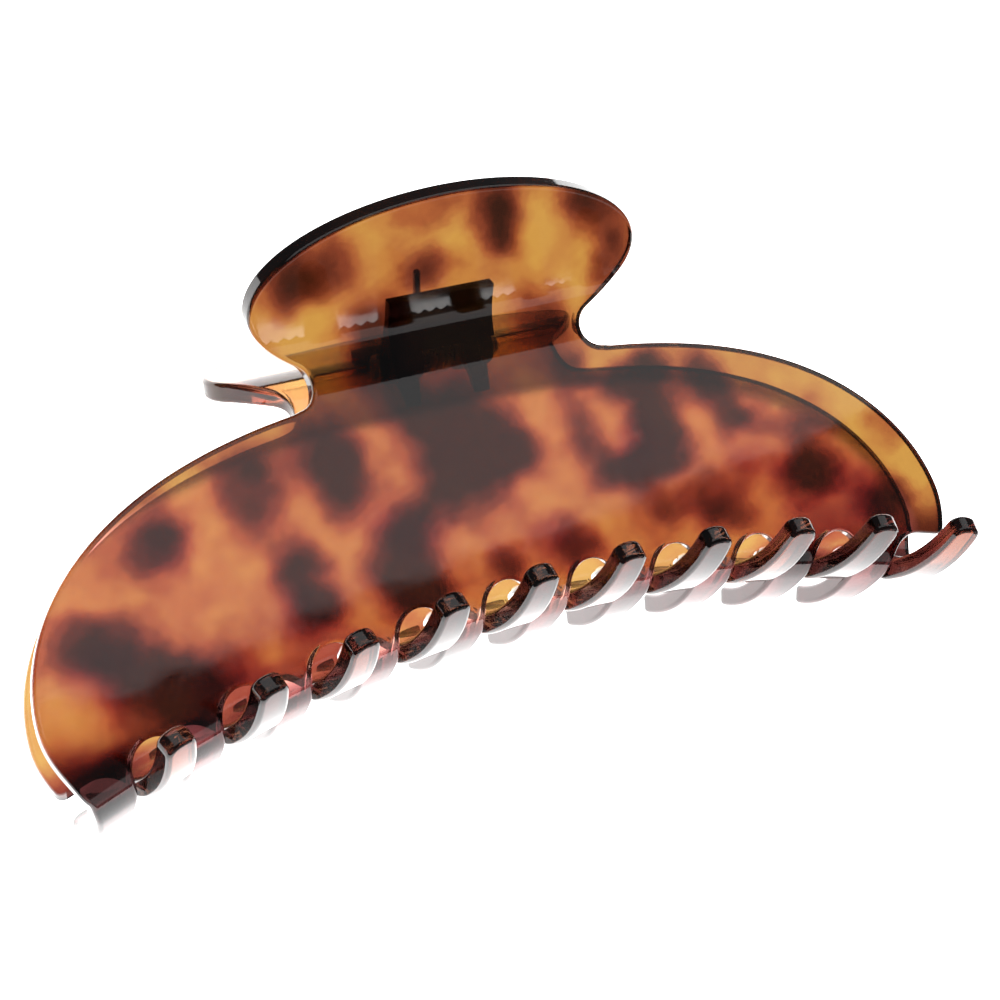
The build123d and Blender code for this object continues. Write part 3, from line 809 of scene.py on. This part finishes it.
# ---------------------------------------------------------------- floor and light
def floor_material():
    n = Nodes("floor_matte")
    place = n.add("ShaderNodeTexCoord").outputs["Object"]
    cloud = n.noise(place, 9.0, 2.0)
    tone = n.ramp(cloud, ((0.3, (0.84, 0.84, 0.84)), (0.7, (0.86, 0.86, 0.86))))
    n.join(tone, n.shader.inputs["Base Color"])
    n.shader.inputs["Roughness"].default_value = 0.7
    n.shader.inputs["Specular IOR Level"].default_value = 0.2
    n.shader.inputs["Emission Color"].default_value = (1, 1, 1, 1)
    n.shader.inputs["Emission Strength"].default_value = 3.2
    return n.material


bpy.ops.mesh.primitive_circle_add(vertices=128, radius=0.2, fill_type="NGON")
floor = bpy.context.object
floor.name = "floor"
floor.location = (0.01, 0.04, -0.0003)
floor.data.materials.append(floor_material())

world = bpy.data.worlds.new("studio")
bpy.context.scene.world = world
world.use_nodes = True
tree = world.node_tree
sky = tree.nodes["Background"]
sky.inputs[0].default_value = (0.93, 0.95, 1.0, 1)
rays = tree.nodes.new("ShaderNodeLightPath")
level = tree.nodes.new("ShaderNodeMapRange")
level.inputs[3].default_value = 0.12
level.inputs[4].default_value = 1.0
tree.links.new(rays.outputs["Is Camera Ray"], level.inputs[0])
tree.links.new(level.outputs[0], sky.inputs[1])


def softbox(name, centre, target, width, height, radiance):
    """A rectangular light facing its target; its brightness is given as radiance."""
    data = bpy.data.lights.new(name, "AREA")
    data.shape = "RECTANGLE"
    data.size = width
    data.size_y = height
    data.energy = radiance * math.pi * width * height
    light = bpy.data.objects.new(name, data)
    bpy.context.scene.collection.objects.link(light)
    light.location = centre
    light.rotation_mode = "QUATERNION"
    light.rotation_quaternion = (Vector(target) - Vector(centre)).to_track_quat("-Z", "Y")
    light.visible_camera = False
    return light


# the overhead box's near edge is what ends the pale sheen across the jaw
near_edge = Vector((0.4, 0.0725, 0.9))
slant = math.atan(0.09)
middle = near_edge + Vector((-math.sin(slant), math.cos(slant), 0)) * 0.5
overhead = softbox("overhead", middle, middle - Vector((0, 0, 1)), 2.0, 1.0, 1.15)
overhead.rotation_mode = "XYZ"
overhead.rotation_euler = (0, 0, slant)
softbox("front", (0.3, -0.9, 0.17), (0, 0, 0.03), 1.6, 0.34, 0.9)

# ---------------------------------------------------------------- camera
camera_data = bpy.data.cameras.new("camera")
camera_data.lens = 68.69
camera_data.sensor_width = 36
camera_data.clip_start = 0.01
camera_data.clip_end = 20
camera = bpy.data.objects.new("camera", camera_data)
bpy.context.scene.collection.objects.link(camera)
right = Vector((0.88745, -0.36072, 0.28693))
up = Vector((0.22384, 0.88147, 0.41583))
back_axis = Vector((-0.40291, -0.30480, 0.86300))
turn = Matrix((right, up, back_axis)).transposed().to_4x4()
camera.matrix_world = Matrix.Translation(Vector((-85.51, -70.865, 205.514)) * MM) @ turn
bpy.context.scene.camera = camera
bpy.context.scene.view_settings.view_transform = "Standard"
